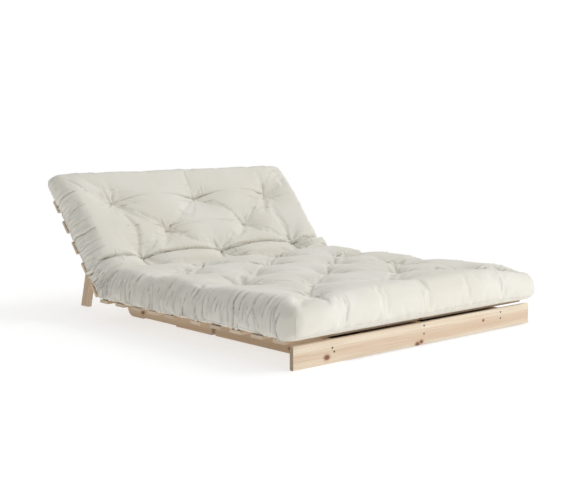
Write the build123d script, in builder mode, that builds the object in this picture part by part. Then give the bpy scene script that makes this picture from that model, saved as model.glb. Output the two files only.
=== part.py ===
from build123d import *
import os
from math import cos, radians, sin, tan

# Folding futon sofa bed in its lounge position, in millimetres. The origin is on the
# floor under the middle of the whole piece; +X runs along the front board, the front
# faces -Y and +Z is up. Three parallel rail lines carry cross slats in three sections:
# a front section that slides forward, a middle section that is the base, and a
# backrest that hinges on the rear ends of the middle rails and stands on prop legs.

FRONT_FACE = -879.0  # y of the front board's face; section positions count back from it
FRAME_WIDTH = 1400.0

# Stock
RAIL_THICK = 26.0
RAIL_HEIGHT = 89.5
SLAT_WIDTH = 68.0
SLAT_THICK = 13.5
BOARD_THICK = 19.0
BOARD_HEIGHT = 90.0
LEG_THICK = 20.0
LEG_WIDTH = 62.0
EDGE_EASE = 1.2

# Rail lines: name, x of the centre, and the side on which the rail's lug lies
LINES = [("left", -500.0, -1), ("centre", 0.0, -1), ("right", 500.0, 1)]

# Front and middle sections, as distances behind the board's face
SLAT_PITCH = 129.0
FRONT_SLAT_START = 46.4
FRONT_RAIL_END = 712.0
MIDDLE_RAIL_START = 738.0
MIDDLE_SLAT_START = 745.0
RELIEF_START, RELIEF_END, RELIEF_DEPTH = 1000.0, 1262.0, 5.0
LINK_START, LINK_END, LINK_LOW, LINK_HIGH, LINK_THICK = 450.0, 1000.0, 18.0, 62.0, 20.0
SLIDE_GAP = 0.4

# Backrest
PIVOT_Y = FRONT_FACE + 1348.0
PIVOT_Z = RAIL_HEIGHT / 2
RECLINE = 48.2
STILE_HALF = 28.9
STILE_END = 628.0
LAP_GAP = 0.5
BACK_SLAT_START = 58.0
BACK_SLAT_PITCH = 123.0

# Prop legs: where they hinge on the stile, and how far they lean off the vertical
LEG_S, LEG_N, LEG_LEAN, LEG_GAP = 439.0, -4.0, 17.0, 0.4

# Fasteners
SCREW_R, SCREW_HEAD_R, SCREW_HEAD_H, SCREW_GAP = 2.0, 4.0, 2.4, 0.06
SLAT_SCREW_LENGTH, BOARD_SCREW_LENGTH, LINK_SCREW_LENGTH = 38.0, 60.0, 34.0
BOARD_SCREWS = {"left": [(-5, 59), (5, 43)], "centre": [(6, 77), (6, 44)], "right": [(1, 73), (1, 46)]}
BOLT_R, BOLT_FIT, NUT_R, NUT_H = 4.0, 0.06, 7.0, 6.5
BOLT_HEAD_R, BOLT_HEAD_H, WASHER_R, WASHER_T = 9.0, 4.0, 10.0, 1.6

# Mattress
MATTRESS_HALF = 714.0
MATTRESS_FRONT = FRONT_FACE - 31.0
SEAT_TOP = 222.0
BACK_LENGTH, BACK_TOP = 700.0, 150.0
SOFT_GAP = 0.6


def tilted(x):
    """Plane at x whose first axis runs up the reclined stile and whose second faces forward."""
    angle = radians(RECLINE)
    return Plane(origin=(x, PIVOT_Y, PIVOT_Z), x_dir=(0, cos(angle), sin(angle)), z_dir=(1, 0, 0))


def leg_pivot():
    angle = radians(RECLINE)
    y = PIVOT_Y + LEG_S * cos(angle) - LEG_N * sin(angle)
    z = PIVOT_Z + LEG_S * sin(angle) + LEG_N * cos(angle)
    return y, z


def save(part, name):
    part.label = name
    export_step(part, f"parts/{name}.step")


def screw_offsets(start):
    """Distances of a slat's two screw rows from the section's start."""
    return [start + SLAT_WIDTH * 0.28, start + SLAT_WIDTH * 0.72]


def flat_screw_rows(starts):
    return [FRONT_FACE + offset for start in starts for offset in screw_offsets(start)]


FRONT_STARTS = [FRONT_SLAT_START + SLAT_PITCH * i for i in range(5)]
MIDDLE_STARTS = [MIDDLE_SLAT_START + SLAT_PITCH * i for i in range(5)]
BACK_STARTS = [BACK_SLAT_START + BACK_SLAT_PITCH * i for i in range(5)]
LINK_SCREW_ROWS = [FRONT_FACE + MIDDLE_RAIL_START + 40, FRONT_FACE + LINK_END - 30]
os.makedirs("parts", exist_ok=True)

# Front board, countersunk for the screws that hold it on the front rails
with BuildPart() as front_board:
    with Locations((0, FRONT_FACE + BOARD_THICK / 2, BOARD_HEIGHT / 2)):
        Box(FRAME_WIDTH, BOARD_THICK, BOARD_HEIGHT)
    fillet(front_board.edges().filter_by(Axis.X), 2.0)
    for name, x, side in LINES:
        for dx, z in BOARD_SCREWS[name]:
            with Locations(Location((x + dx, FRONT_FACE, z), (90, 0, 0))):
                CounterSinkHole(SCREW_R + SCREW_GAP, SCREW_HEAD_R + 0.3, BOARD_THICK * 1.5, 82)
save(front_board.part, "front_board")

# Front rails, upright on the floor under the front slats
for name, x, side in LINES:
    with BuildPart() as front_rail:
        with BuildSketch(Plane.YZ.offset(x - RAIL_THICK / 2)):
            with Locations((FRONT_FACE + (BOARD_THICK + FRONT_RAIL_END) / 2, RAIL_HEIGHT / 2)):
                Rectangle(FRONT_RAIL_END - BOARD_THICK, RAIL_HEIGHT)
        extrude(amount=RAIL_THICK)
        fillet(front_rail.edges().filter_by(Axis.Y), EDGE_EASE)
        with Locations([(x, y, RAIL_HEIGHT) for y in flat_screw_rows(FRONT_STARTS)]):
            Hole(SCREW_R + SCREW_GAP, SLAT_SCREW_LENGTH - SLAT_THICK + 1)
        for dx, z in BOARD_SCREWS[name]:
            with Locations(Location((x + dx, FRONT_FACE + BOARD_THICK, z), (90, 0, 0))):
                Hole(SCREW_R + SCREW_GAP, BOARD_SCREW_LENGTH - BOARD_THICK + 1)
    save(front_rail.part, f"front_rail_{name}")

# Middle rails: the outer half of each runs on to a round lug for the backrest's pivot
for name, x, side in LINES:
    outer = x if side > 0 else x - RAIL_THICK / 2
    half = RAIL_THICK / 2 - LAP_GAP
    shoulder = PIVOT_Y - STILE_HALF - 4.0
    with BuildPart() as middle_rail:
        with BuildSketch(Plane.YZ.offset(x - RAIL_THICK / 2)):
            with Locations(((FRONT_FACE + MIDDLE_RAIL_START + shoulder) / 2, RAIL_HEIGHT / 2)):
                Rectangle(shoulder - FRONT_FACE - MIDDLE_RAIL_START, RAIL_HEIGHT)
            with Locations((FRONT_FACE + (RELIEF_START + RELIEF_END) / 2, 0)):
                Rectangle(RELIEF_END - RELIEF_START, 2 * RELIEF_DEPTH, mode=Mode.SUBTRACT)
        extrude(amount=RAIL_THICK)
        with BuildSketch(Plane.YZ.offset(outer if side < 0 else outer + LAP_GAP)):
            with Locations(((shoulder - 20 + PIVOT_Y) / 2, RAIL_HEIGHT / 2)):
                Rectangle(PIVOT_Y - shoulder + 20, RAIL_HEIGHT)
            with Locations((PIVOT_Y, PIVOT_Z)):
                Circle(RAIL_HEIGHT / 2)
        extrude(amount=half)
        with Locations([(x, y, RAIL_HEIGHT) for y in flat_screw_rows(MIDDLE_STARTS)]):
            Hole(SCREW_R + SCREW_GAP, SLAT_SCREW_LENGTH - SLAT_THICK + 1)
        with Locations(Location((x, PIVOT_Y, PIVOT_Z), (0, 90, 0))):
            Cylinder(BOLT_R + BOLT_FIT, RAIL_THICK * 2, mode=Mode.SUBTRACT)
        for y in LINK_SCREW_ROWS:
            with Locations(Location((x, y, (LINK_LOW + LINK_HIGH) / 2), (0, 90, 0))):
                Cylinder(SCREW_R + SCREW_GAP, RAIL_THICK * 2, mode=Mode.SUBTRACT)
    save(middle_rail.part, f"middle_rail_{name}")

# Link battens: screwed inside the middle rails, they guide the front rails as they slide
for name, x, side in LINES:
    inner = x - side * (RAIL_THICK / 2 + SLIDE_GAP + LINK_THICK / 2)
    with BuildPart() as link_batten:
        with Locations((inner, FRONT_FACE + (LINK_START + LINK_END) / 2, (LINK_LOW + LINK_HIGH) / 2)):
            Box(LINK_THICK, LINK_END - LINK_START, LINK_HIGH - LINK_LOW)
        fillet(link_batten.edges().filter_by(Axis.Y), 2.0)
        for y in LINK_SCREW_ROWS:
            with Locations(Location((inner, y, (LINK_LOW + LINK_HIGH) / 2), (0, 90, 0))):
                Cylinder(SCREW_R + SCREW_GAP, LINK_THICK * 2, mode=Mode.SUBTRACT)
    save(link_batten.part, f"link_batten_{name}")

# Cross slats of the two flat sections
for prefix, starts in (("front", FRONT_STARTS), ("middle", MIDDLE_STARTS)):
    for index, start in enumerate(starts):
        with BuildPart() as slat:
            with Locations((0, FRONT_FACE + start + SLAT_WIDTH / 2, RAIL_HEIGHT + SLAT_THICK / 2)):
                Box(FRAME_WIDTH, SLAT_WIDTH, SLAT_THICK)
            fillet(slat.edges().filter_by(Axis.X), 2.0)
            rows = [FRONT_FACE + offset for offset in screw_offsets(start)]
            spots = [(x, y, RAIL_HEIGHT + SLAT_THICK) for name, x, side in LINES for y in rows]
            with Locations(spots):
                CounterSinkHole(SCREW_R + SCREW_GAP, SCREW_HEAD_R + 0.2, SLAT_THICK * 1.5, 82)
        save(slat.part, f"{prefix}_slat_{index + 1}")

# Backrest stiles: the inner half of each lower end laps the rail's lug and is rounded
for name, x, side in LINES:
    inner_start = x + LAP_GAP if side < 0 else x - RAIL_THICK / 2
    with BuildPart() as back_stile:
        with BuildSketch(tilted(x - RAIL_THICK / 2)):
            with Locations(((RAIL_HEIGHT / 2 + 3 + STILE_END) / 2, 0)):
                Rectangle(STILE_END - RAIL_HEIGHT / 2 - 3, 2 * STILE_HALF)
        extrude(amount=RAIL_THICK)
        with BuildSketch(tilted(inner_start)):
            with Locations((RAIL_HEIGHT / 3, 0)):
                Rectangle(2 * RAIL_HEIGHT / 3, 2 * STILE_HALF)
            Circle(STILE_HALF)
        extrude(amount=RAIL_THICK / 2 - LAP_GAP)
        with Locations(tilted(x).location):
            for start in BACK_STARTS:
                for offset in screw_offsets(start):
                    with Locations(Location((offset, STILE_HALF, 0), (-90, 0, 0))):
                        Hole(SCREW_R + SCREW_GAP, SLAT_SCREW_LENGTH - SLAT_THICK + 1)
            Cylinder(BOLT_R + BOLT_FIT, RAIL_THICK * 2, mode=Mode.SUBTRACT)
            with Locations((LEG_S, LEG_N, 0)):
                Cylinder(BOLT_R + BOLT_FIT, RAIL_THICK * 2, mode=Mode.SUBTRACT)
    save(back_stile.part, f"back_stile_{name}")

# Backrest slats, screwed across the stiles' front edges
for index, start in enumerate(BACK_STARTS):
    with BuildPart() as back_slat:
        with BuildSketch(tilted(-FRAME_WIDTH / 2)):
            with Locations((start + SLAT_WIDTH / 2, STILE_HALF + SLAT_THICK / 2)):
                RectangleRounded(SLAT_WIDTH, SLAT_THICK, 2.0)
        extrude(amount=FRAME_WIDTH)
        for name, x, side in LINES:
            with Locations(tilted(x).location):
                for offset in screw_offsets(start):
                    with Locations(Location((offset, STILE_HALF + SLAT_THICK, 0), (-90, 0, 0))):
                        CounterSinkHole(SCREW_R + SCREW_GAP, SCREW_HEAD_R + 0.2, SLAT_THICK * 1.5, 82)
    save(back_slat.part, f"back_slat_{index + 1}")

# Prop legs: round at the stile, cut level at the foot
pivot_y, pivot_z = leg_pivot()
lean = radians(LEG_LEAN)
for name, x, side in (LINES[0], LINES[2]):
    near = x + side * (RAIL_THICK / 2 + LEG_GAP)
    low = near if side > 0 else near - LEG_THICK
    leg_plane = Plane(origin=(low, pivot_y, pivot_z), x_dir=(0, sin(lean), -cos(lean)), z_dir=(1, 0, 0))
    reach = pivot_z / cos(lean)
    slope = LEG_WIDTH / 2 * tan(lean)
    with BuildPart() as prop_leg:
        with BuildSketch(leg_plane):
            with BuildLine():
                Polyline(
                    (0, LEG_WIDTH / 2),
                    (reach + slope, LEG_WIDTH / 2),
                    (reach - slope, -LEG_WIDTH / 2),
                    (0, -LEG_WIDTH / 2),
                    (0, LEG_WIDTH / 2),
                )
            make_face()
            Circle(LEG_WIDTH / 2)
            Circle(BOLT_R + BOLT_FIT, mode=Mode.SUBTRACT)
        extrude(amount=LEG_THICK)
    save(prop_leg.part, f"prop_leg_{name}")

# The mattress as two closed solids that meet at the crease, on the bisector of the fold
crease = tan(radians(RECLINE / 2))
seat_bottom = RAIL_HEIGHT + SLAT_THICK + SOFT_GAP
seat_points = [
    (MATTRESS_FRONT, seat_bottom),
    (PIVOT_Y - (seat_bottom - PIVOT_Z) * crease - 1, seat_bottom),
    (PIVOT_Y - (SEAT_TOP - PIVOT_Z) * crease - 1, SEAT_TOP),
    (MATTRESS_FRONT, SEAT_TOP),
]
with BuildPart() as seat_mattress:
    with BuildSketch(Plane.YZ.offset(-MATTRESS_HALF)) as seat_outline:
        with BuildLine():
            Polyline(*seat_points, close=True)
        make_face()
        fillet(seat_outline.vertices().group_by(Axis.X)[0], 30)
    extrude(amount=2 * MATTRESS_HALF)
save(seat_mattress.part, "seat_mattress")

back_bottom = STILE_HALF + SLAT_THICK + SOFT_GAP
back_points = [
    (75, back_bottom),
    (BACK_LENGTH, back_bottom),
    (BACK_LENGTH, BACK_TOP),
    (BACK_TOP * crease + 1, BACK_TOP),
    (85 * crease + 1, 85),
]
with BuildPart() as back_mattress:
    with BuildSketch(tilted(-MATTRESS_HALF)) as back_outline:
        with BuildLine():
            Polyline(*back_points, close=True)
        make_face()
        fillet(back_outline.vertices().group_by(Axis.X)[-1].sort_by(Axis.Y)[0], 55)
        fillet(back_outline.vertices().group_by(Axis.X)[-1].sort_by(Axis.Y)[-1], 15)
    extrude(amount=2 * MATTRESS_HALF)
save(back_mattress.part, "back_mattress")


def screw(length):
    """A countersunk wood screw with its head's flat at z = 0 and its point downwards."""
    with BuildPart() as blank:
        with BuildSketch(Plane.XZ):
            with BuildLine():
                Polyline(
                    (0, 0),
                    (SCREW_HEAD_R, 0),
                    (SCREW_R, -SCREW_HEAD_H),
                    (SCREW_R, 6 - length),
                    (0, -length),
                    close=True,
                )
            make_face()
        revolve(axis=Axis.Z)
        with Locations((0, 0, 0)):
            Box(5.5, 1.0, 2.0, mode=Mode.SUBTRACT)
            Box(1.0, 5.5, 2.0, mode=Mode.SUBTRACT)
    return blank.part


slat_screw = screw(SLAT_SCREW_LENGTH)
board_screw = screw(BOARD_SCREW_LENGTH)
link_screw = screw(LINK_SCREW_LENGTH)

for prefix, starts in (("front", FRONT_STARTS), ("middle", MIDDLE_STARTS)):
    spots = [(x, y, RAIL_HEIGHT + SLAT_THICK) for name, x, side in LINES for y in flat_screw_rows(starts)]
    with BuildPart() as slat_screws:
        with Locations(spots):
            add(slat_screw)
    save(slat_screws.part, f"{prefix}_slat_screws")

with BuildPart() as back_slat_screws:
    for name, x, side in LINES:
        with Locations(tilted(x).location):
            for start in BACK_STARTS:
                for offset in screw_offsets(start):
                    with Locations(Location((offset, STILE_HALF + SLAT_THICK, 0), (-90, 0, 0))):
                        add(slat_screw)
save(back_slat_screws.part, "back_slat_screws")

with BuildPart() as board_screws:
    for name, x, side in LINES:
        for dx, z in BOARD_SCREWS[name]:
            with Locations(Location((x + dx, FRONT_FACE, z), (90, 0, 0))):
                add(board_screw)
save(board_screws.part, "board_screws")

with BuildPart() as link_screws:
    for name, x, side in LINES:
        face = x - side * (RAIL_THICK / 2 + SLIDE_GAP + LINK_THICK + SCREW_HEAD_H + 0.02)
        for y in LINK_SCREW_ROWS:
            with Locations(Location((face, y, (LINK_LOW + LINK_HIGH) / 2), (0, -90 * side, 0))):
                add(link_screw)
save(link_screws.part, "link_screws")


def bolt(length):
    """A domed socket bolt along Z: the head's seat is at z = 0 and the shank points down."""
    with BuildPart() as blank:
        with BuildSketch(Plane.XZ):
            with BuildLine():
                Polyline(
                    (0, -length),
                    (BOLT_R - 0.8, -length),
                    (BOLT_R, 0.8 - length),
                    (BOLT_R, 0),
                    (BOLT_HEAD_R, 0),
                    (BOLT_HEAD_R, 1.0),
                    (BOLT_HEAD_R * 0.82, BOLT_HEAD_H * 0.68),
                    (BOLT_HEAD_R * 0.5, BOLT_HEAD_H),
                    (0, BOLT_HEAD_H),
                    close=True,
                )
            make_face()
        revolve(axis=Axis.Z)
        with BuildSketch(Plane.XY.offset(BOLT_HEAD_H)):
            RegularPolygon(2.9, 6)
        extrude(amount=-2.6, mode=Mode.SUBTRACT)
    return blank.part


with BuildPart() as washer:
    Cylinder(WASHER_R, WASHER_T, align=(Align.CENTER, Align.CENTER, Align.MIN))
    Cylinder(BOLT_R + BOLT_FIT, WASHER_T * 3, mode=Mode.SUBTRACT)

with BuildPart() as nut:
    with BuildSketch():
        RegularPolygon(NUT_R, 6)
    extrude(amount=NUT_H)
    Cylinder(BOLT_R + BOLT_FIT, NUT_H * 3, mode=Mode.SUBTRACT)


def save_bolts(prefix, places):
    """Export bolts, washers and nuts; a place is its outer face's x, side, y, z and grip."""
    spots = [((face, y, z), (0, 90 * side, 0), grip) for face, side, y, z, grip in places]
    shank = max(grip for place, turn, grip in spots) + 2 * WASHER_T + NUT_H + 2
    bolt_blank = bolt(shank)
    with BuildPart() as bolts:
        for place, turn, grip in spots:
            with Locations(Location(place, turn)):
                with Locations((0, 0, WASHER_T)):
                    add(bolt_blank)
    save(bolts.part, f"{prefix}_bolts")
    with BuildPart() as washers:
        for place, turn, grip in spots:
            with Locations(Location(place, turn)):
                with Locations((0, 0, 0), (0, 0, -grip - WASHER_T)):
                    add(washer.part)
    save(washers.part, f"{prefix}_washers")
    with BuildPart() as nuts:
        for place, turn, grip in spots:
            with Locations(Location(place, turn)):
                with Locations((0, 0, -grip - WASHER_T - NUT_H)):
                    add(nut.part)
    save(nuts.part, f"{prefix}_nuts")


back_places = [(x + side * RAIL_THICK / 2, side, PIVOT_Y, PIVOT_Z, RAIL_THICK) for name, x, side in LINES]
save_bolts("back_pivot", back_places)
leg_grip = RAIL_THICK + LEG_GAP + LEG_THICK
leg_lines = (LINES[0], LINES[2])
leg_faces = [(x + side * (leg_grip - RAIL_THICK / 2), side) for name, x, side in leg_lines]
save_bolts("leg_pivot", [(face, side, pivot_y, pivot_z, leg_grip) for face, side in leg_faces])
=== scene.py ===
import math

import bpy
import numpy as np
from mathutils import Matrix, Vector


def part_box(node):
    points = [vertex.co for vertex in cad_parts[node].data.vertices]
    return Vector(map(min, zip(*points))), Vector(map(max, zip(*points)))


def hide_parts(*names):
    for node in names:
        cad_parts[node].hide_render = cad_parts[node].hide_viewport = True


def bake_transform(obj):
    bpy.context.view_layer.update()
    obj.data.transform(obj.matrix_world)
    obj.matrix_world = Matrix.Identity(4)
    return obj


# Folding futon sofa bed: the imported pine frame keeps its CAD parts, which get grained
# pine and zinc materials, and one tufted cotton futon replaces the two mattress solids.

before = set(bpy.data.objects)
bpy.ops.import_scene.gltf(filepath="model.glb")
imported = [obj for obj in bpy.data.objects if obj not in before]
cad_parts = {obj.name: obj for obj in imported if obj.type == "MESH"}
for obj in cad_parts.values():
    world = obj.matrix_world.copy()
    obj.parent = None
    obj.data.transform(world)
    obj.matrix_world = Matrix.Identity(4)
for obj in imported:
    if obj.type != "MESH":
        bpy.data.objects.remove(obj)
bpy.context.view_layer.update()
scene = bpy.context.scene
scene.view_settings.view_transform = "Standard"

# The bend between seat and backrest, in the row frame in metres
PIVOT = np.array([0.469, 0.04475])  # y and z of the backrest's hinge
RECLINE = math.radians(48.2)
MITRE = RECLINE / 2  # the fold's plane leans back by this much from the vertical
BEND_WIDTH = 0.10

# The futon laid flat: half width, front and rear ends, lattice cell, edge radii
HALF = 0.713
FRONT, REAR = -0.909, PIVOT[0] + 0.713
CELL = 0.010
TOP_RADIUS, SIDE_LOW_RADIUS, FRONT_LOW_RADIUS = 0.042, 0.012, 0.030
SEAT_LOW, SEAT_TOP = 0.1046, 0.217
BACK_LOW, BACK_TOP = 0.0886, 0.188
SLAT_REACH = 0.704  # just past the ends of the slats
CAP = 0.026  # the most that the simulation may move a point
LAST_FRAME = 20
CORNER_REACH = 0.16  # the simulation's moves fade out this near to a corner

# How deep and how wide a tuft draws the top down, by where it is
FOLD_TUFT, BACK_TUFT, SEAT_TUFT = (0.046, 0.048), (0.034, 0.046), (0.035, 0.040)
FOLD_ARCH, FOLD_PITCH, FOLD_START = 0.020, 0.470, 0.012
THREAD, STRAND, SEAM = 0.0017, 0.0008, 0.0016  # radii

# Tufts on the flat futon, row by row: y, then each x
FOLD_ROW = 0.634
TUFTS = []
for row_y, columns in (
    (-0.709, (-0.465, 0.005, 0.48)),
    (-0.504, (-0.24, 0.25)),
    (-0.304, (-0.465, 0.005, 0.48)),
    (-0.099, (-0.24, 0.25)),
    (0.101, (-0.465, 0.005, 0.48)),
    (0.301, (-0.24, 0.25)),
    (FOLD_ROW, (-0.455, 0.01, 0.485)),
    (0.792, (-0.23, 0.25)),
    (0.979, (-0.47, 0.02, 0.49)),
):
    TUFTS += [(x, row_y) for x in columns]
TUFTS = np.array(TUFTS)


def smooth(edge0, edge1, value):
    t = np.clip((value - edge0) / (edge1 - edge0), 0, 1)
    return t * t * (3 - 2 * t)


def profile(y):
    """Bottom and top height of the flat futon at y, before it is filled and tufted."""
    back = smooth(PIVOT[0] - 0.10, PIVOT[0] + 0.14, y)
    bridge = 0.020 * np.exp(-(((y - PIVOT[0]) / 0.095) ** 2))
    low = SEAT_LOW + (BACK_LOW - SEAT_LOW) * back + bridge
    top = SEAT_TOP + (BACK_TOP - SEAT_TOP) * smooth(PIVOT[0] + 0.10, PIVOT[0] + 0.22, y)
    top += 0.012 * smooth(-0.55, -0.80, y)
    return low, top


def bunch(x, y):
    """Extra height where the futon is squeezed at the fold, less the dips at its sides."""
    inside = smooth(0.71, 0.60, np.abs(x))
    squeezed = 0.020 * inside * np.exp(-(((y - PIVOT[0] - 0.075) / 0.070) ** 2))
    # The sides dip at the rows that have a tuft near them
    at_side = smooth(0.40, 0.60, np.abs(x))
    dips = np.exp(-(((y + 0.304) / 0.065) ** 2)) + np.exp(-(((y - 0.101) / 0.065) ** 2))
    return squeezed - 0.013 * at_side * dips


def fold_line(x):
    """The y of the crease between seat and back, which arches up between its tufts."""
    return FOLD_ROW + FOLD_ARCH * np.abs(np.sin(np.pi * (x - FOLD_START) / FOLD_PITCH))


def dimple(x, y):
    """How far the top is drawn down at x, y by the tufts and by the fold's crease."""
    deep = np.zeros_like(x)
    for tx, ty in TUFTS:
        if ty == FOLD_ROW:
            depth, spread = FOLD_TUFT
        elif ty > FOLD_ROW:
            depth, spread = BACK_TUFT
        else:
            depth, spread = SEAT_TUFT
        r = np.hypot((x - tx) / 1.15, y - ty)
        deep = np.maximum(deep, depth * np.exp(-r / spread))
    groove = 0.044 * np.exp(-np.abs(y - fold_line(x)) / 0.015)
    return np.maximum(deep, groove * smooth(0.74, 0.64, np.abs(x)))


def lattice():
    """Points and quads of a closed box lattice, with each point's place in the box."""
    nx = round(2 * HALF / CELL)
    ny = round((REAR - FRONT) / CELL)
    nz = 9
    index = -np.ones((nx + 1, ny + 1, nz + 1), int)
    i, j, k = np.meshgrid(range(nx + 1), range(ny + 1), range(nz + 1), indexing="ij")
    shell = (i == 0) | (i == nx) | (j == 0) | (j == ny) | (k == 0) | (k == nz)
    index[shell] = np.arange(shell.sum())
    place = np.stack([i[shell] / nx, j[shell] / ny, k[shell] / nz], 1)

    def sheet_quads(grid, flip):
        a, b, c, d = grid[:-1, :-1], grid[1:, :-1], grid[1:, 1:], grid[:-1, 1:]
        quads = np.stack([a, b, c, d], -1).reshape(-1, 4)
        return quads[:, ::-1] if flip else quads

    quads = np.concatenate([
        sheet_quads(index[:, :, 0], True), sheet_quads(index[:, :, nz], False),
        sheet_quads(index[:, 0, :], False), sheet_quads(index[:, ny, :], True),
        sheet_quads(index[0, :, :], True), sheet_quads(index[nx, :, :], False),
    ])
    return place, quads


def flat_points(place):
    """The lattice as the flat futon's rounded, tufted starting shape."""
    x = (place[:, 0] * 2 - 1) * HALF
    y = FRONT + place[:, 1] * (REAR - FRONT)
    low, top = profile(y)
    height = top - low
    # The lower edge is rounder at the front and all along the backrest
    rounder = np.maximum(smooth(0.07, 0.03, y - FRONT), smooth(0.52, 0.62, y))
    low_radius = SIDE_LOW_RADIUS + (FRONT_LOW_RADIUS - SIDE_LOW_RADIUS) * rounder
    radius = np.where(place[:, 2] > 0.5, TOP_RADIUS, low_radius)
    radius = np.minimum(radius, height * 0.5)
    z = place[:, 2] * height
    # Each point near an edge goes onto the rounded edge
    inner_x = np.clip(x, -HALF + radius, HALF - radius)
    inner_y = np.clip(y, FRONT + radius, REAR - radius)
    inner_z = np.clip(z, radius, height - radius)
    off = np.stack([x - inner_x, y - inner_y, z - inner_z], 1)
    length = np.linalg.norm(off, axis=1)
    off *= (radius / np.maximum(length, 1e-9))[:, None]
    points = np.stack([inner_x, inner_y, inner_z], 1) + off
    # The top is lower towards the edges and at the tufts
    edge = np.minimum(np.minimum(HALF - np.abs(x), y - FRONT), REAR - y)
    share = smooth(0.45, 1.0, points[:, 2] / height)
    crown = 0.013 * smooth(0.0, 0.07, edge) + bunch(points[:, 0], points[:, 1])
    points[:, 2] += low + share * (crown - dimple(points[:, 0], points[:, 1]))
    # The side band stands a little proud at half height
    belly = 0.004 * np.sin(np.pi * place[:, 2])
    points[:, 0] += belly * np.sign(x) * smooth(0.02, 0.0, HALF - np.abs(x))
    points[:, 1] += belly * (smooth(0.02, 0.0, REAR - y) - smooth(0.02, 0.0, y - FRONT))
    # The front's lower edge curls up, and the sides' lower edges hang over the slat ends
    lower = smooth(0.35, 0.0, place[:, 2])
    points[:, 2] += 0.010 * lower * smooth(0.06, 0.0, y - FRONT)
    on_seat = smooth(0.0, 0.05, y - FRONT) * smooth(0.48, 0.40, y)
    points[:, 2] -= 0.007 * lower * on_seat * smooth(0.703, 0.712, np.abs(points[:, 0]))
    return points


def make_mesh(name, points, quads):
    mesh = bpy.data.meshes.new(name)
    mesh.from_pydata(points.tolist(), [], quads.tolist())
    mesh.polygons.foreach_set("use_smooth", [True] * len(mesh.polygons))
    mesh.update()
    piece = bpy.data.objects.new(name, mesh)
    scene.collection.objects.link(piece)
    return piece


def read(values, field, count):
    """The three-part values of a mesh's field, as one row for each vertex."""
    found = np.zeros(count * 3, np.float32)
    values.foreach_get(field, found)
    return found.reshape(-1, 3).astype(float)


def points_of(mesh):
    return read(mesh.vertices, "co", len(mesh.vertices))


def fill(piece, start, pinned):
    """Blows the flat futon up around its pinned underside and tufts, then caps the moves."""
    group = piece.vertex_groups.new(name="held")
    group.add([int(i) for i in np.nonzero(pinned)[0]], 1.0, "REPLACE")
    cloth = piece.modifiers.new("fill", "CLOTH")
    settings = cloth.settings
    settings.quality = 5
    settings.mass = 0.25
    settings.tension_stiffness = 12
    settings.compression_stiffness = 12
    settings.shear_stiffness = 4
    settings.bending_stiffness = 0.25
    settings.tension_damping = settings.compression_damping = 8
    settings.use_pressure = True
    settings.uniform_pressure_force = 3.2
    settings.shrink_min = -0.035
    settings.vertex_group_mass = "held"
    settings.pin_stiffness = 1.0
    settings.effector_weights.gravity = 0
    cloth.collision_settings.use_collision = False
    cloth.point_cache.frame_start, cloth.point_cache.frame_end = 1, LAST_FRAME
    for step in range(1, LAST_FRAME + 1):
        scene.frame_set(step)
    evaluated = piece.evaluated_get(bpy.context.evaluated_depsgraph_get())
    blown = points_of(evaluated.data)
    piece.modifiers.remove(cloth)
    scene.frame_set(1)
    move = blown - start
    size = np.linalg.norm(move, axis=1)
    move *= (CAP * np.tanh(size / CAP) / np.maximum(size, 1e-9))[:, None]
    # The stiff sewn corners keep their shape
    from_end = np.minimum(start[:, 1] - FRONT, REAR - start[:, 1])
    move *= smooth(0.0, CORNER_REACH, np.hypot(HALF - np.abs(start[:, 0]), from_end))[:, None]
    return start + move


def subdivide(piece):
    bpy.context.view_layer.objects.active = piece
    piece.select_set(True)
    finer = piece.modifiers.new("finer", "SUBSURF")
    finer.levels = finer.render_levels = 1
    bpy.ops.object.modifier_apply(modifier=finer.name)
    piece.select_set(False)


def crease(across, width, ridge):
    """A sharp valley along a line, with a soft ridge on each side."""
    valley = np.exp(-((across / width) ** 2))
    return valley - ridge * np.exp(-(((np.abs(across) - 2.1 * width) / (1.2 * width)) ** 2))


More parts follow.
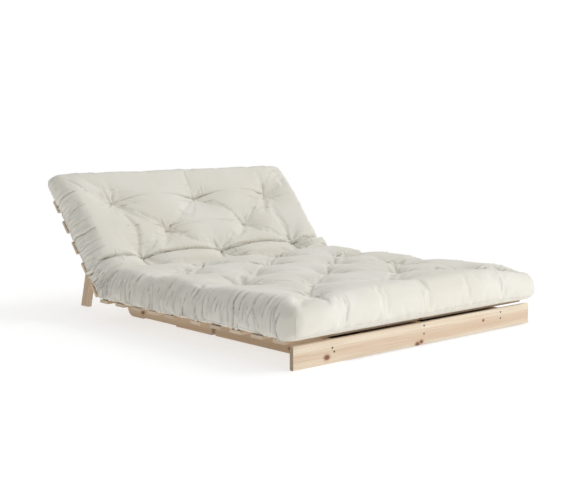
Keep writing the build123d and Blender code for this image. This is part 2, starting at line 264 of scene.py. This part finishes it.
def folds(points, normals):
    """Depth of the folds round each tuft and of the lines between tufts and in the fold."""
    x, y = points[:, 0], points[:, 1]
    depth = np.zeros(len(points))
    on_top = smooth(0.25, 0.7, normals[:, 2])
    local = np.random.default_rng(21)
    for tx, ty in TUFTS:
        near = np.hypot(x - tx, y - ty) < 0.20
        dx, dy = x[near] - tx, y[near] - ty
        r = np.hypot(dx, dy)
        heading = np.arctan2(dy, dx)
        count = local.integers(5, 8)
        first = local.uniform(0, 2 * np.pi)
        for n in range(count):
            angle = first + 2 * np.pi * n / count + local.normal(0, 0.25)
            reach = local.uniform(0.04, 0.13)
            width = local.uniform(0.0034, 0.0050)
            bow = local.normal(0, 1.4)
            turn = (heading - angle - bow * r + np.pi) % (2 * np.pi) - np.pi
            across = r * np.sin(np.clip(turn, -1.5, 1.5))
            line = crease(across, width * (1 + r / 0.14), 0.6)
            strength = local.uniform(0.0040, 0.0085) * (0.6 if ty > FOLD_ROW else 1.0)
            fade = smooth(0.0, 0.010, r) * smooth(reach, reach * 0.3, r)
            depth[near] += np.where(np.abs(turn) < 1.5, strength * line * fade, 0)
    for a in range(len(TUFTS)):
        for b in range(a + 1, len(TUFTS)):
            start, end = TUFTS[a], TUFTS[b]
            span = np.linalg.norm(end - start)
            rise = abs(end[1] - start[1])
            across_fold = (start[1] < FOLD_ROW) != (end[1] < FOLD_ROW)
            in_fold_row = start[1] == end[1] == FOLD_ROW
            if not 0.15 < span < 0.52 or rise > 0.25 or across_fold or in_fold_row:
                continue
            along = (end - start) / span
            level = rise < 0.05
            back = start[1] >= FOLD_ROW
            strength = 0.0062 if level and back else local.uniform(0.5, 1.0) * 0.0040
            side = np.array([-along[1], along[0]])
            rel = np.stack([x, y], 1) - start
            t = np.clip(rel @ along / span, 0, 1)
            arch = 0.015 if level and back else local.normal(0, 0.010)
            bulge = np.sin(np.pi * t)
            across = rel @ side - arch * bulge
            line = crease(across, 0.0048, 0.5)
            if not level:  # a diagonal is a double line
                line += 0.7 * crease(across - 0.016 * bulge, 0.0044, 0.4)
            ends = smooth(0.0, 0.05, t) * smooth(1.0, 0.95, t)
            middle = 0.35 + 0.65 * np.abs(t - 0.5) * 2
            depth += strength * line * ends * middle
    in_fold = crease(y - fold_line(x), 0.0065, 0.15) * smooth(0.715, 0.66, np.abs(x))
    return (depth + 0.012 * in_fold) * on_top


def pleat(place, close, run, spot, shape):
    """Depth of one pleat of a side band, at the points in close that run past its spot."""
    width, lean, bend, size, low_end, top_end = shape
    up = place[close, 2]
    across = run[close] - spot - lean * (up - 0.5) - bend * np.sin(up * 5)
    part = smooth(low_end - 0.15, low_end + 0.15, up) * smooth(top_end + 0.2, top_end - 0.2, up)
    return size * crease(across, width, 0.45) * part


def gathers(points, place, normals):
    """Depth of the pleats where the side band is sewn to the panels."""
    depth = np.zeros(len(points))
    local = np.random.default_rng(5)
    # The long sides: small pleats, closest together at the bend, and a few deep ones
    for sign in (-1, 1):
        facing = np.abs(normals[:, 0])
        band = (np.sign(place[:, 0] - 0.5) == sign) & (facing > 0.02)
        above = smooth(0.02, 0.35, facing)
        reach = np.where(normals[:, 2] > 0, above, smooth(0.1, 0.5, facing))
        run = points[:, 1]
        spot = FRONT + 0.075
        next_deep = spot + 0.10
        while spot < REAR - 0.07:
            seat = spot < FOLD_ROW
            at_bend = math.exp(-(((spot - 0.46) / 0.22) ** 2))
            spot += local.uniform(0.7, 1.3) * (0.021 - 0.008 * at_bend if seat else 0.019)
            deep = spot > next_deep
            if deep:
                next_deep = spot + local.uniform(0.17, 0.25)
            width = local.uniform(0.0034, 0.0052) * (1.35 if deep else 1.0)
            size = 0.0150 if deep else local.uniform(0.0050, 0.0110)
            size *= 0.85 + 0.45 * at_bend if seat else 0.40
            shape = (
                width, local.normal(0, 0.012), local.normal(0, 0.006), size,
                -0.5 if deep else local.uniform(-0.4, 0.45), 1.1 if deep else local.uniform(0.6, 1.15),
            )
            close = band & (np.abs(run - spot) < 0.05)
            depth[close] += pleat(place, close, run, spot, shape) * reach[close]
    # The front stays smooth but for a crease below each front tuft; the rear has a few more
    run = points[:, 0]
    facing = np.abs(normals[:, 1])
    reach = smooth(0.05, 0.6, facing)
    for at_rear, spots in ((False, (-0.45, -0.02, 0.475)), (True, np.linspace(-0.62, 0.62, 19))):
        band = ((place[:, 1] > 0.5) == at_rear) & (facing > 0.05)
        for spot in spots:
            spot = spot + (local.normal(0, 0.018) if at_rear else 0.0)
            size = local.uniform(0.0015, 0.0040) if at_rear else 0.0030
            width = local.uniform(0.0030, 0.0040)
            shape = (width, local.normal(0, 0.02), local.normal(0, 0.004), size, 0.25, 1.3)
            close = band & (np.abs(run - spot) < 0.06)
            depth[close] += pleat(place, close, run, spot, shape) * reach[close]
    return depth


def to_rest(points):
    """Bends flat points up into the lounge position, as the inverse of the blend."""
    rel = points[:, 1:] - PIVOT
    r = np.hypot(rel[:, 0], rel[:, 1])
    phi = np.arctan2(rel[:, 0], rel[:, 1])  # from the vertical, towards the rear
    low, high = np.zeros(len(points)), np.ones(len(points))
    for _ in range(40):
        w = (low + high) / 2
        reach = r * np.sin(phi - RECLINE * w + MITRE)
        t = np.clip(reach / BEND_WIDTH + 0.5, 0, 1)
        more = t * t * (3 - 2 * t) > w
        low, high = np.where(more, w, low), np.where(more, high, w)
    angle = phi - RECLINE * (low + high) / 2
    rest = points.copy()
    rest[:, 1] = PIVOT[0] + r * np.sin(angle)
    rest[:, 2] = PIVOT[1] + r * np.cos(angle)
    return rest


def normals_of(mesh):
    return read(mesh.vertex_normals, "vector", len(mesh.vertices))


def store(piece, name, kind, values):
    attribute = piece.data.attributes.new(name, kind, "POINT")
    field = "vector" if kind == "FLOAT_VECTOR" else "value"
    attribute.data.foreach_set(field, np.asarray(values, np.float32).ravel())


def build_futon():
    place, quads = lattice()
    start = flat_points(place)
    piece = make_mesh("futon", start, quads)
    store(piece, "place", "FLOAT_VECTOR", place)
    tuft_gap = np.min(np.hypot(start[:, 0:1] - TUFTS[:, 0], start[:, 1:2] - TUFTS[:, 1]), axis=1)
    top = place[:, 2] > 0.999
    low = (place[:, 2] < 0.001) & (np.abs(start[:, 0]) < HALF - 0.012)
    low &= (start[:, 1] > FRONT + 0.04) & (start[:, 1] < REAR - 0.04)
    pinned = (top & (tuft_gap < 0.011)) | low
    filled = fill(piece, start, pinned)
    piece.data.vertices.foreach_set("co", filled.astype(np.float32).ravel())
    subdivide(piece)
    places = read(piece.data.attributes["place"].data, "vector", len(piece.data.vertices))
    points, normals = points_of(piece.data), normals_of(piece.data)
    depth = folds(points, normals) + gathers(points, places, normals)
    store(piece, "flat", "FLOAT_VECTOR", points)
    points = points - normals * depth[:, None]
    # No pleat reaches down into the seat's slats, which end just inside SLAT_REACH
    resting = (np.abs(points[:, 0]) < SLAT_REACH) & (points[:, 1] < PIVOT[0] - 0.05)
    points[resting, 2] = np.maximum(points[resting, 2], SEAT_LOW - 0.0003)
    # The fold depth is kept for the cotton's painted shade in the folds and creases
    store(piece, "fold", "FLOAT", np.clip(depth / 0.0055, -1, 1))
    rest = to_rest(points)
    piece.data.vertices.foreach_set("co", rest.astype(np.float32).ravel())
    piece.data.update()
    return piece, points, places


# Node helpers


class Nodes:
    """A material's node tree with short calls for the nodes that are used here."""

    def __init__(self, name):
        self.material = bpy.data.materials.new(name)
        self.material.use_nodes = True
        self.tree = self.material.node_tree
        self.shader = self.tree.nodes["Principled BSDF"]

    def add(self, kind, inputs=(), **settings):
        node = self.tree.nodes.new("ShaderNode" + kind)
        for key, value in settings.items():
            setattr(node, key, value)
        for key, value in dict(inputs).items():
            self.feed(node.inputs[key], value)
        return node

    def feed(self, socket, value):
        if isinstance(value, bpy.types.NodeSocket):
            self.tree.links.new(value, socket)
        else:
            socket.default_value = value

    def math(self, operation, a, b=0.0, clamp=False):
        return self.add("Math", {0: a, 1: b}, operation=operation, use_clamp=clamp).outputs[0]

    def ramp(self, value, low, high, to_low=0.0, to_high=1.0):
        given = {"Value": value, "From Min": low, "From Max": high, "To Min": to_low, "To Max": to_high}
        return self.add("MapRange", given, interpolation_type="SMOOTHSTEP").outputs[0]

    def mix(self, share, a, b, blend="MIX"):
        node = self.add("Mix", data_type="RGBA", blend_type=blend)
        self.feed(node.inputs[0], share)
        self.feed(node.inputs[6], a)
        self.feed(node.inputs[7], b)
        return node.outputs[2]

    def noise(self, vector, scale, detail=3.0, rough=0.5):
        given = {"Vector": vector, "Scale": scale, "Detail": detail, "Roughness": rough}
        return self.add("TexNoise", given).outputs["Fac"]

    def mapped(self, vector, location=(0, 0, 0), rotation=(0, 0, 0), scale=(1, 1, 1)):
        given = {"Vector": vector, "Location": location, "Rotation": rotation, "Scale": scale}
        return self.add("Mapping", given).outputs[0]


def dimmed(colour, share):
    return (*[part * share for part in colour[:3]], 1.0)


def linear(red, green, blue):
    """An sRGB colour given in 0 to 255 as a linear one with alpha."""
    parts = [c / 255 for c in (red, green, blue)]
    return (*[c / 12.92 if c <= 0.04045 else ((c + 0.055) / 1.055) ** 2.4 for c in parts], 1.0)


def pine(name, along, centre, light, dark, end, knots=(), seed=0, tilt=0.0, pith=None, heart=False):
    """Planed pine: rings about a pith that runs along the grain, knots and end grain.

    along is the grain's axis, x, y or s; s leans up from +y by tilt. A knot is its
    centre in the row frame and its radius in metres. The pith's place is across the
    grain from the piece's centre. heart adds a darker band along the middle.
    """
    local = np.random.default_rng(seed)
    n = Nodes(name)
    where = n.add("TexCoord").outputs["Object"]
    facing = n.add("TexCoord").outputs["Normal"]
    turn = {"x": (0, 0, 0), "y": (0, 0, -math.pi / 2), "s": (-tilt, 0, 0)}[along]
    if along == "s":
        where = n.mapped(where, rotation=turn)
        facing = n.mapped(facing, rotation=turn)
        turn = (0, 0, -math.pi / 2)
    grain = n.mapped(where, rotation=turn)  # x along the grain
    faced = n.mapped(facing, rotation=turn)
    shift = tuple(local.uniform(-5, 5, 3))
    stretched = n.mapped(grain, location=shift, scale=(0.9, 7, 7))
    warp = n.noise(stretched, 1.0, 2.0, 0.4)
    middle = Matrix.Rotation(-tilt, 3, "X") @ centre if along == "s" else centre.copy()
    if along != "x":
        middle = Matrix.Rotation(-math.pi / 2, 3, "Z") @ middle
    if pith is None:
        sideways = local.uniform(0.04, 0.09) * local.choice([-1, 1])
        if along == "y":
            pith = (local.uniform(0.02, 0.05), sideways)
        else:
            pith = (sideways, local.uniform(-0.05, -0.02))
    placed = n.mapped(grain, location=(0, pith[0] - middle.y, pith[1] - middle.z))
    split = n.add("SeparateXYZ", {0: placed})
    squares = [n.math("POWER", split.outputs[k], 2.0) for k in (1, 2)]
    radius = n.math("SQRT", n.math("ADD", *squares))
    rings = n.math("ADD", n.math("MULTIPLY", radius, 250.0), n.math("MULTIPLY", warp, 5.0))
    knot_dark, knot_core = 0.0, 0.0
    for spot, size in knots:
        gap = n.add("VectorMath", {0: where, 1: spot}, operation="SUBTRACT").outputs[0]
        scaled = {"x": (0.7, 1, 1), "y": (1, 0.7, 1), "s": (1, 0.9, 0.6)}[along]
        gap = n.add("VectorMath", {0: gap, 1: scaled}, operation="MULTIPLY").outputs[0]
        far = n.add("VectorMath", {0: gap}, operation="LENGTH").outputs["Value"]
        push = n.ramp(far, size * 0.5, size * 3.0, 1.6, 0.0)
        rings = n.math("ADD", rings, push)
        halo = n.ramp(far, size * 0.75, size * 1.7, 1.0, 0.0)
        core = n.ramp(far, size * 0.55, size, 1.0, 0.0)
        knot_dark = n.math("MAXIMUM", knot_dark, halo)
        knot_core = n.math("MAXIMUM", knot_core, core)
    phase = n.math("FRACT", rings)
    late = n.math("MULTIPLY", n.ramp(phase, 0.35, 0.93), n.ramp(phase, 0.94, 1.0, 1.0, 0.0))
    fine = n.noise(n.mapped(grain, location=shift, scale=(6, 420, 420)), 1.0, 3.0, 0.6)
    broad = n.noise(n.mapped(grain, location=shift, scale=(0.7, 22, 22)), 1.0, 2.0, 0.5)
    colour = n.mix(n.math("MULTIPLY", late, 0.80 if heart else 0.60), light, dark)
    colour = n.mix(n.ramp(fine, 0.45, 0.75, 0.0, 0.60 if heart else 0.35), colour, dark)
    colour = n.mix(n.ramp(broad, 0.40, 0.66, 0.0, 0.55), colour, dark)
    if heart:
        lifted = n.add("SeparateXYZ", {0: n.mapped(grain, location=(0, 0, -middle.z))}).outputs[2]
        lifted = n.math("ADD", lifted, n.math("MULTIPLY", n.math("SUBTRACT", warp, 0.5), 0.05))
        band = n.ramp(n.math("ABSOLUTE", lifted), 0.006, 0.030, 0.75, 0.0)
        colour = n.mix(n.math("MULTIPLY", band, n.ramp(fine, 0.2, 0.7, 0.55, 1.0)), colour, dark)
    knot = linear(112, 68, 40)
    colour = n.mix(n.math("MULTIPLY", knot_dark, 0.45), colour, linear(176, 118, 72))
    colour = n.mix(n.math("MULTIPLY", knot_core, 0.85), colour, knot)
    ends = n.ramp(n.math("ABSOLUTE", n.add("SeparateXYZ", {0: faced}).outputs[0]), 0.7, 0.95)
    speck = n.noise(n.mapped(grain, scale=(900, 900, 900)), 1.0, 2.0, 0.7)
    end_colour = n.mix(n.math("MULTIPLY", late, 0.6), end, dimmed(end, 0.62))
    end_colour = n.mix(n.ramp(speck, 0.4, 0.75, 0.0, 0.35), end_colour, dimmed(end, 0.5))
    colour = n.mix(ends, colour, end_colour)
    n.feed(n.shader.inputs["Base Color"], colour)
    rough = n.math("ADD", n.ramp(fine, 0.3, 0.8, 0.50, 0.66), n.math("MULTIPLY", late, -0.06))
    n.feed(n.shader.inputs["Roughness"], rough)
    relief = n.math("ADD", n.math("MULTIPLY", fine, 0.5), n.math("MULTIPLY", late, 0.35))
    relief = n.math("SUBTRACT", relief, n.math("MULTIPLY", knot_core, 0.4))
    bump = n.add("Bump", {"Strength": 0.35, "Distance": 0.0006, "Height": relief})
    n.feed(n.shader.inputs["Normal"], bump.outputs[0])
    n.shader.inputs["Specular IOR Level"].default_value = 0.35
    return n.material


def metal(name, light, dark):
    """Plated steel with clouding and fine scratches."""
    n = Nodes(name)
    where = n.add("TexCoord").outputs["Object"]
    cloud = n.noise(where, 160.0, 3.0, 0.6)
    scratch = n.noise(n.mapped(where, scale=(90, 1600, 400)), 1.0, 2.0, 0.7)
    colour = n.mix(n.ramp(cloud, 0.3, 0.7), dark, light)
    n.feed(n.shader.inputs["Base Color"], colour)
    n.shader.inputs["Metallic"].default_value = 1.0
    n.feed(n.shader.inputs["Roughness"], n.ramp(scratch, 0.3, 0.8, 0.28, 0.5))
    bump = n.add("Bump", {"Strength": 0.15, "Distance": 0.0002, "Height": scratch})
    n.feed(n.shader.inputs["Normal"], bump.outputs[0])
    return n.material


def cotton(name, shade=1.0, thread=False):
    """Natural cotton: a plain weave with slubs and flecks, and painted shade in the folds."""
    n = Nodes(name)
    if thread:
        where = n.add("TexCoord").outputs["Object"]
    else:
        where = n.add("Attribute", attribute_name="flat").outputs["Vector"]
    slub = n.noise(n.mapped(where, scale=(14, 260, 260)), 1.0, 3.0, 0.6)
    slub_across = n.noise(n.mapped(where, scale=(260, 14, 260)), 1.0, 3.0, 0.6)
    blotch = n.noise(where, 3.2, 3.0, 0.55)
    fleck = n.noise(where, 420.0, 1.0, 0.5)
    base = linear(236 * shade, 233 * shade, 224 * shade)
    warm = linear(229 * shade, 224 * shade, 210 * shade)
    colour = n.mix(n.ramp(blotch, 0.35, 0.68, 0.0, 0.6), base, warm)
    colour = n.mix(n.ramp(n.math("MAXIMUM", slub, slub_across), 0.55, 0.8, 0.0, 0.35), colour, warm)
    colour = n.mix(n.ramp(fleck, 0.70, 0.80, 0.0, 0.30), colour, linear(178, 160, 132))
    if not thread:
        # Painted shade: the colour darkens towards a grey-green where the folds and creases are deep
        fold = n.add("Attribute", attribute_name="fold").outputs["Fac"]
        colour = n.mix(n.ramp(fold, 0.25, 1.0, 0.0, 0.60), colour, linear(146, 140, 122))
    n.feed(n.shader.inputs["Base Color"], colour)
    split = n.add("SeparateXYZ", {0: where})
    waves = [n.math("SINE", n.math("MULTIPLY", split.outputs[k], 2 * math.pi / 0.0016)) for k in range(3)]
    weave = n.math("ADD", n.math("MULTIPLY", waves[0], waves[1]), n.math("MULTIPLY", waves[1], waves[2]))
    weave = n.math("ADD", weave, n.math("MULTIPLY", waves[2], waves[0]))
    relief = n.math("ADD", n.math("MULTIPLY", weave, 0.25), n.math("ADD", slub, slub_across))
    crumple = n.noise(where, 34.0, 4.0, 0.55)
    relief = n.math("ADD", relief, n.math("MULTIPLY", crumple, 1.5))
    bump = n.add("Bump", {"Strength": 0.30, "Distance": 0.0012, "Height": relief})
    n.feed(n.shader.inputs["Normal"], bump.outputs[0])
    n.feed(n.shader.inputs["Roughness"], n.ramp(slub, 0.3, 0.8, 0.86, 0.96))
    n.shader.inputs["Specular IOR Level"].default_value = 0.2
    n.shader.inputs["Sheen Weight"].default_value = 0.25
    n.shader.inputs["Sheen Roughness"].default_value = 0.5
    return n.material


def give(piece, material):
    piece.data.materials.clear()
    piece.data.materials.append(material)


def dress_frame():
    """Grained pine on every board, slat, rail and leg, and zinc on the fasteners."""
    board = (linear(240, 230, 210), linear(206, 178, 150), linear(176, 156, 132))
    slat = (linear(222, 202, 176), linear(192, 162, 128), linear(230, 209, 183))
    rail = (linear(212, 191, 166), linear(184, 156, 124), linear(196, 172, 144))
    own_knots = {
        "front_board": [
            ((-0.533, -0.879, 0.026), 0.012), ((-0.033, -0.879, 0.006), 0.011),
            ((-0.010, -0.879, 0.013), 0.009), ((0.384, -0.879, 0.051), 0.006),
        ],
        "front_slat_2": [((-0.70, -0.673, 0.100), 0.007)],
        "front_rail_left": [((-0.513, -0.649, 0.020), 0.010), ((-0.513, -0.30, 0.058), 0.007)],
        "middle_rail_left": [((-0.513, 0.385, 0.030), 0.012), ((-0.513, 0.02, 0.06), 0.007)],
        "prop_leg_left": [((-0.533, 0.853, 0.074), 0.011), ((-0.533, 0.871, 0.106), 0.005)],
    }
    steel = metal("zinc_steel", linear(205, 200, 184), linear(178, 180, 176))
    bronzed = metal("bronzed_steel", linear(92, 74, 60), linear(60, 48, 40))
    for index, name in enumerate(sorted(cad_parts)):
        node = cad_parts[name]
        if "mattress" in name:
            continue
        if any(word in name for word in ("screws", "bolts", "nuts", "washers")):
            give(node, bronzed if "screws" in name else steel)
            continue
        knots = list(own_knots.get(name, []))
        low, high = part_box(name)
        local = np.random.default_rng(100 + index)
        pith = None
        if name == "front_board":
            look, along, pith = board, "x", (-0.025, 0.075)
        elif "slat" in name:
            look, along = slat, "x"
            for _ in range(2):
                spot = (local.uniform(-0.6, 0.6), local.uniform(low.y, high.y), local.uniform(low.z, high.z))
                knots.append((spot, local.uniform(0.005, 0.009)))
        elif "stile" in name or "prop_leg" in name:
            look, along = rail, "s"
        else:
            look, along = rail, "y"
            for _ in range(2):
                spot = (high.x, local.uniform(low.y, high.y), local.uniform(low.z, high.z * 0.6))
                knots.append((spot, local.uniform(0.006, 0.010)))
        tilt = RECLINE if "stile" in name else math.radians(107)
        tone = local.uniform(0.9, 1.08)
        shaded = [tuple(min(1.0, c * tone) for c in colour[:3]) + (1.0,) for colour in look]
        centre = (low + high) / 2
        heart = name == "front_board"
        wood = pine("pine_" + name, along, centre, *shaded, knots, index, tilt, pith, heart)
        give(node, wood)


def tube(points, radius, sides=6, closed=False):
    """Points and quads of a tube along a line, for threads and seams."""
    path = np.asarray(points, float)
    ahead = np.roll(path, -1, 0) - np.roll(path, 1, 0)
    if not closed:
        ahead[0], ahead[-1] = path[1] - path[0], path[-1] - path[-2]
    ahead /= np.maximum(np.linalg.norm(ahead, axis=1), 1e-9)[:, None]
    up = np.tile([0.0, 0.0, 1.0], (len(path), 1))
    up[np.abs(ahead[:, 2]) > 0.9] = (1.0, 0.0, 0.0)
    right = np.cross(ahead, up)
    right /= np.linalg.norm(right, axis=1)[:, None]
    over = np.cross(right, ahead)
    turn = np.arange(sides) * 2 * np.pi / sides
    out = np.cos(turn)[None, :, None] * right[:, None] + np.sin(turn)[None, :, None] * over[:, None]
    verts = (path[:, None] + radius * out).reshape(-1, 3)
    quads = []
    rows = len(path) if closed else len(path) - 1
    for i in range(rows):
        for j in range(sides):
            a, b = i * sides + j, i * sides + (j + 1) % sides
            c, d = ((i + 1) % len(path)) * sides + (j + 1) % sides, ((i + 1) % len(path)) * sides + j
            quads.append((a, b, c, d))
    if not closed:
        last = (len(path) - 1) * sides
        for first, flip in ((0, True), (last, False)):
            for k in range(1, sides - 2, 2):
                cap = (first, first + k, first + k + 1, first + k + 2)
                quads.append(cap[::-1] if flip else cap)
    return verts, quads


def join_tubes(name, tubes):
    """One piece, bent into the lounge position, from tubes laid out on the flat futon."""
    counts = [len(verts) for verts, _ in tubes]
    offsets = np.cumsum([0] + counts[:-1])
    faces = [np.array(quads) + offset for (_, quads), offset in zip(tubes, offsets)]
    points = np.concatenate([verts for verts, _ in tubes])
    return make_mesh(name, to_rest(points), np.concatenate(faces))


def build_threads(flat, places):
    """The knotted cotton threads of every tuft, seen from above and below."""
    local = np.random.default_rng(33)
    tubes = []
    top = places[:, 2] > 0.999
    low = places[:, 2] < 0.001
    for tx, ty in TUFTS:
        # Below, the knots are drawn up into the cover, so that the slats can slide past
        for shown, sign, knot_lift, strand_lift, rise in (
            (top, 1, 0.0022, 0.0020, 1.0), (low, -1, -0.0015, -0.0006, 0.0),
        ):
            near = np.nonzero(shown)[0]
            gap = np.hypot(flat[near, 0] - tx, flat[near, 1] - ty)
            spot = flat[near[np.argmin(gap)]]
            base = np.array([tx, ty, spot[2]])
            turns = np.linspace(0, 2 * np.pi, 13)[:-1]
            knot = [
                base + (
                    0.0035 * math.cos(a),
                    0.0035 * math.sin(a),
                    sign * (knot_lift + rise * 0.0008 * math.sin(3 * a)),
                )
                for a in turns
            ]
            tubes.append(tube(knot, THREAD, 6, True))
            for _ in range(7):
                heading = local.uniform(0, 2 * np.pi)
                length = local.uniform(0.009, 0.016)
                lift = local.uniform(0.002, 0.008) * rise
                steps = np.linspace(0, 1, 5)
                strand = [
                    base + (
                        length * s * math.cos(heading + 0.5 * s),
                        length * s * math.sin(heading + 0.5 * s),
                        sign * (strand_lift + lift * math.sin(s * 2.2)),
                    )
                    for s in steps
                ]
                tubes.append(tube(strand, STRAND, 4))
    return join_tubes("tuft_threads", tubes)


def build_seams(flat, places):
    """The sewn seams round the futon's lower edge and up its four corners."""
    at_low = places < 1e-4
    at_high = places > 1 - 1e-4
    edge = np.nonzero(at_low[:, 2] & (at_low[:, :2] | at_high[:, :2]).any(axis=1))[0]
    x, y = places[edge, 0], places[edge, 1]
    front, rear = at_low[edge, 1], at_high[edge, 1]
    right = at_high[edge, 0] & ~front & ~rear
    # Each side's points come in order, one side after the other round the edge
    order = 3 + (1 - y)
    order[front] = x[front]
    order[right] = 1 + y[right]
    order[rear] = 2 + (1 - x[rear])
    tubes = [tube(flat[edge[np.argsort(order)]], SEAM, 6, True)]
    for at_x in (at_low[:, 0], at_high[:, 0]):
        for at_y in (at_low[:, 1], at_high[:, 1]):
            corner = np.nonzero(at_x & at_y & (places[:, 2] < 0.8))[0]
            corner = corner[np.argsort(places[corner, 2])]
            tubes.append(tube(flat[corner], SEAM, 6))
    return join_tubes("cover_seams", tubes)


dress_frame()
futon, flat, places = build_futon()
give(futon, cotton("futon_cotton"))
threads = build_threads(flat, places)
give(threads, cotton("tuft_cotton", thread=True))
seams = build_seams(flat, places)
give(seams, cotton("seam_cotton", shade=0.97, thread=True))
for soft in (futon, threads, seams):
    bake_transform(soft)
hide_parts("seat_mattress", "back_mattress")

# Floor, light and camera. The glow that keeps the floor pale stops under the bed, and a painted shadow
# darkens the floor's colour there.
bpy.ops.mesh.primitive_plane_add(size=60)
floor = bpy.context.object
floor.name = "floor"
n = Nodes("pale_floor")
ground = n.add("SeparateXYZ", {0: n.add("TexCoord").outputs["Object"]}).outputs
# Mask of the floor under the bed, where the painted shadow goes
painted_shadow_under_bed = n.math("MULTIPLY", n.ramp(ground[0], -0.50, -0.40), n.ramp(ground[0], 0.60, 0.80, 1.0, 0.0))
painted_shadow_under_bed = n.math("MULTIPLY", painted_shadow_under_bed, n.ramp(ground[1], -0.93, -0.80))
painted_shadow_under_bed = n.math("MULTIPLY", painted_shadow_under_bed, n.ramp(ground[1], 0.35, 0.70, 1.0, 0.0))
grey = (0.48, 0.48, 0.48, 1)
# Painted shadow: under the bed the floor's grey darkens to near black
n.feed(n.shader.inputs["Base Color"], n.mix(painted_shadow_under_bed, grey, (0.10, 0.10, 0.10, 1)))
n.shader.inputs["Roughness"].default_value = 0.9
n.shader.inputs["Specular IOR Level"].default_value = 0.0
n.shader.inputs["Emission Color"].default_value = (1, 1, 1, 1)
# Painted shadow: the floor's glow fades out under the bed
n.feed(n.shader.inputs["Emission Strength"], n.ramp(painted_shadow_under_bed, 0.0, 1.0, 0.62, 0.0))
give(floor, n.material)

world = bpy.data.worlds.new("studio")
scene.world = world
world.use_nodes = True
tree = world.node_tree
background = tree.nodes["Background"]
coordinates = tree.nodes.new("ShaderNodeTexCoord")
split = tree.nodes.new("ShaderNodeSeparateXYZ")
tree.links.new(coordinates.outputs["Generated"], split.inputs[0])


def world_ramp(value, low, high, to_low, to_high):
    node = tree.nodes.new("ShaderNodeMapRange")
    node.interpolation_type = "SMOOTHSTEP"
    for key, number in (("From Min", low), ("From Max", high), ("To Min", to_low), ("To Max", to_high)):
        node.inputs[key].default_value = number
    tree.links.new(value, node.inputs["Value"])
    return node.outputs[0]


# A dim left side, an even room, a bright wall behind the object and some light from above
room = world_ramp(split.outputs[0], -0.95, 0.35, 0.22, 0.65)
wall_side = tree.nodes.new("ShaderNodeVectorMath")
wall_side.operation = "DOT_PRODUCT"
wall_side.inputs[1].default_value = (0.656, 0.755, 0.0)  # straight ahead of the camera
tree.links.new(coordinates.outputs["Generated"], wall_side.inputs[0])
wall = world_ramp(wall_side.outputs["Value"], 0.50, 0.85, 0.0, 0.42)
overhead = world_ramp(split.outputs[2], 0.15, 0.95, 0.0, 0.15)
total = room
for part in (wall, overhead):
    both = tree.nodes.new("ShaderNodeMath")
    tree.links.new(total, both.inputs[0])
    tree.links.new(part, both.inputs[1])
    total = both.outputs[0]
tree.links.new(total, background.inputs["Strength"])
background.inputs["Color"].default_value = (1, 1, 1, 1)

sun_data = bpy.data.lights.new("key", "SUN")
sun_data.energy = 0.74
sun_data.angle = math.radians(25)
sun = bpy.data.objects.new("key", sun_data)
scene.collection.objects.link(sun)
sun.rotation_mode = "QUATERNION"
sun.rotation_quaternion = Vector((0.62, -0.35, 0.62)).to_track_quat("Z", "Y")

front_data = bpy.data.lights.new("front", "AREA")
front_data.shape = "RECTANGLE"
front_data.size, front_data.size_y = 2.4, 1.0
front_data.energy = 10
front = bpy.data.objects.new("front", front_data)
scene.collection.objects.link(front)
front.location = (0.5, -2.7, 0.75)
front.rotation_mode = "QUATERNION"
front.rotation_quaternion = Vector((0.25, -1.0, 0.30)).to_track_quat("Z", "Y")
front.visible_camera = False

CAMERA_PLACE = (-3.1981, -3.7244, 0.8902)
YAW, PITCH, ROLL = math.radians(41.005), math.radians(6.574), math.radians(0.338)
forward = Vector((math.sin(YAW) * math.cos(PITCH), math.cos(YAW) * math.cos(PITCH), -math.sin(PITCH)))
level = Vector((math.cos(YAW), -math.sin(YAW), 0))
down = forward.cross(level)
right = math.cos(ROLL) * level + math.sin(ROLL) * down
lower = -math.sin(ROLL) * level + math.cos(ROLL) * down
camera_data = bpy.data.cameras.new("camera")
camera_data.sensor_width = 36
camera_data.lens = 66.745
camera = bpy.data.objects.new("camera", camera_data)
scene.collection.objects.link(camera)
axes = Matrix((right, -lower, -forward)).transposed().to_4x4()
camera.matrix_world = Matrix.Translation(CAMERA_PLACE) @ axes
camera_data.clip_start, camera_data.clip_end = 0.1, 100
scene.camera = camera
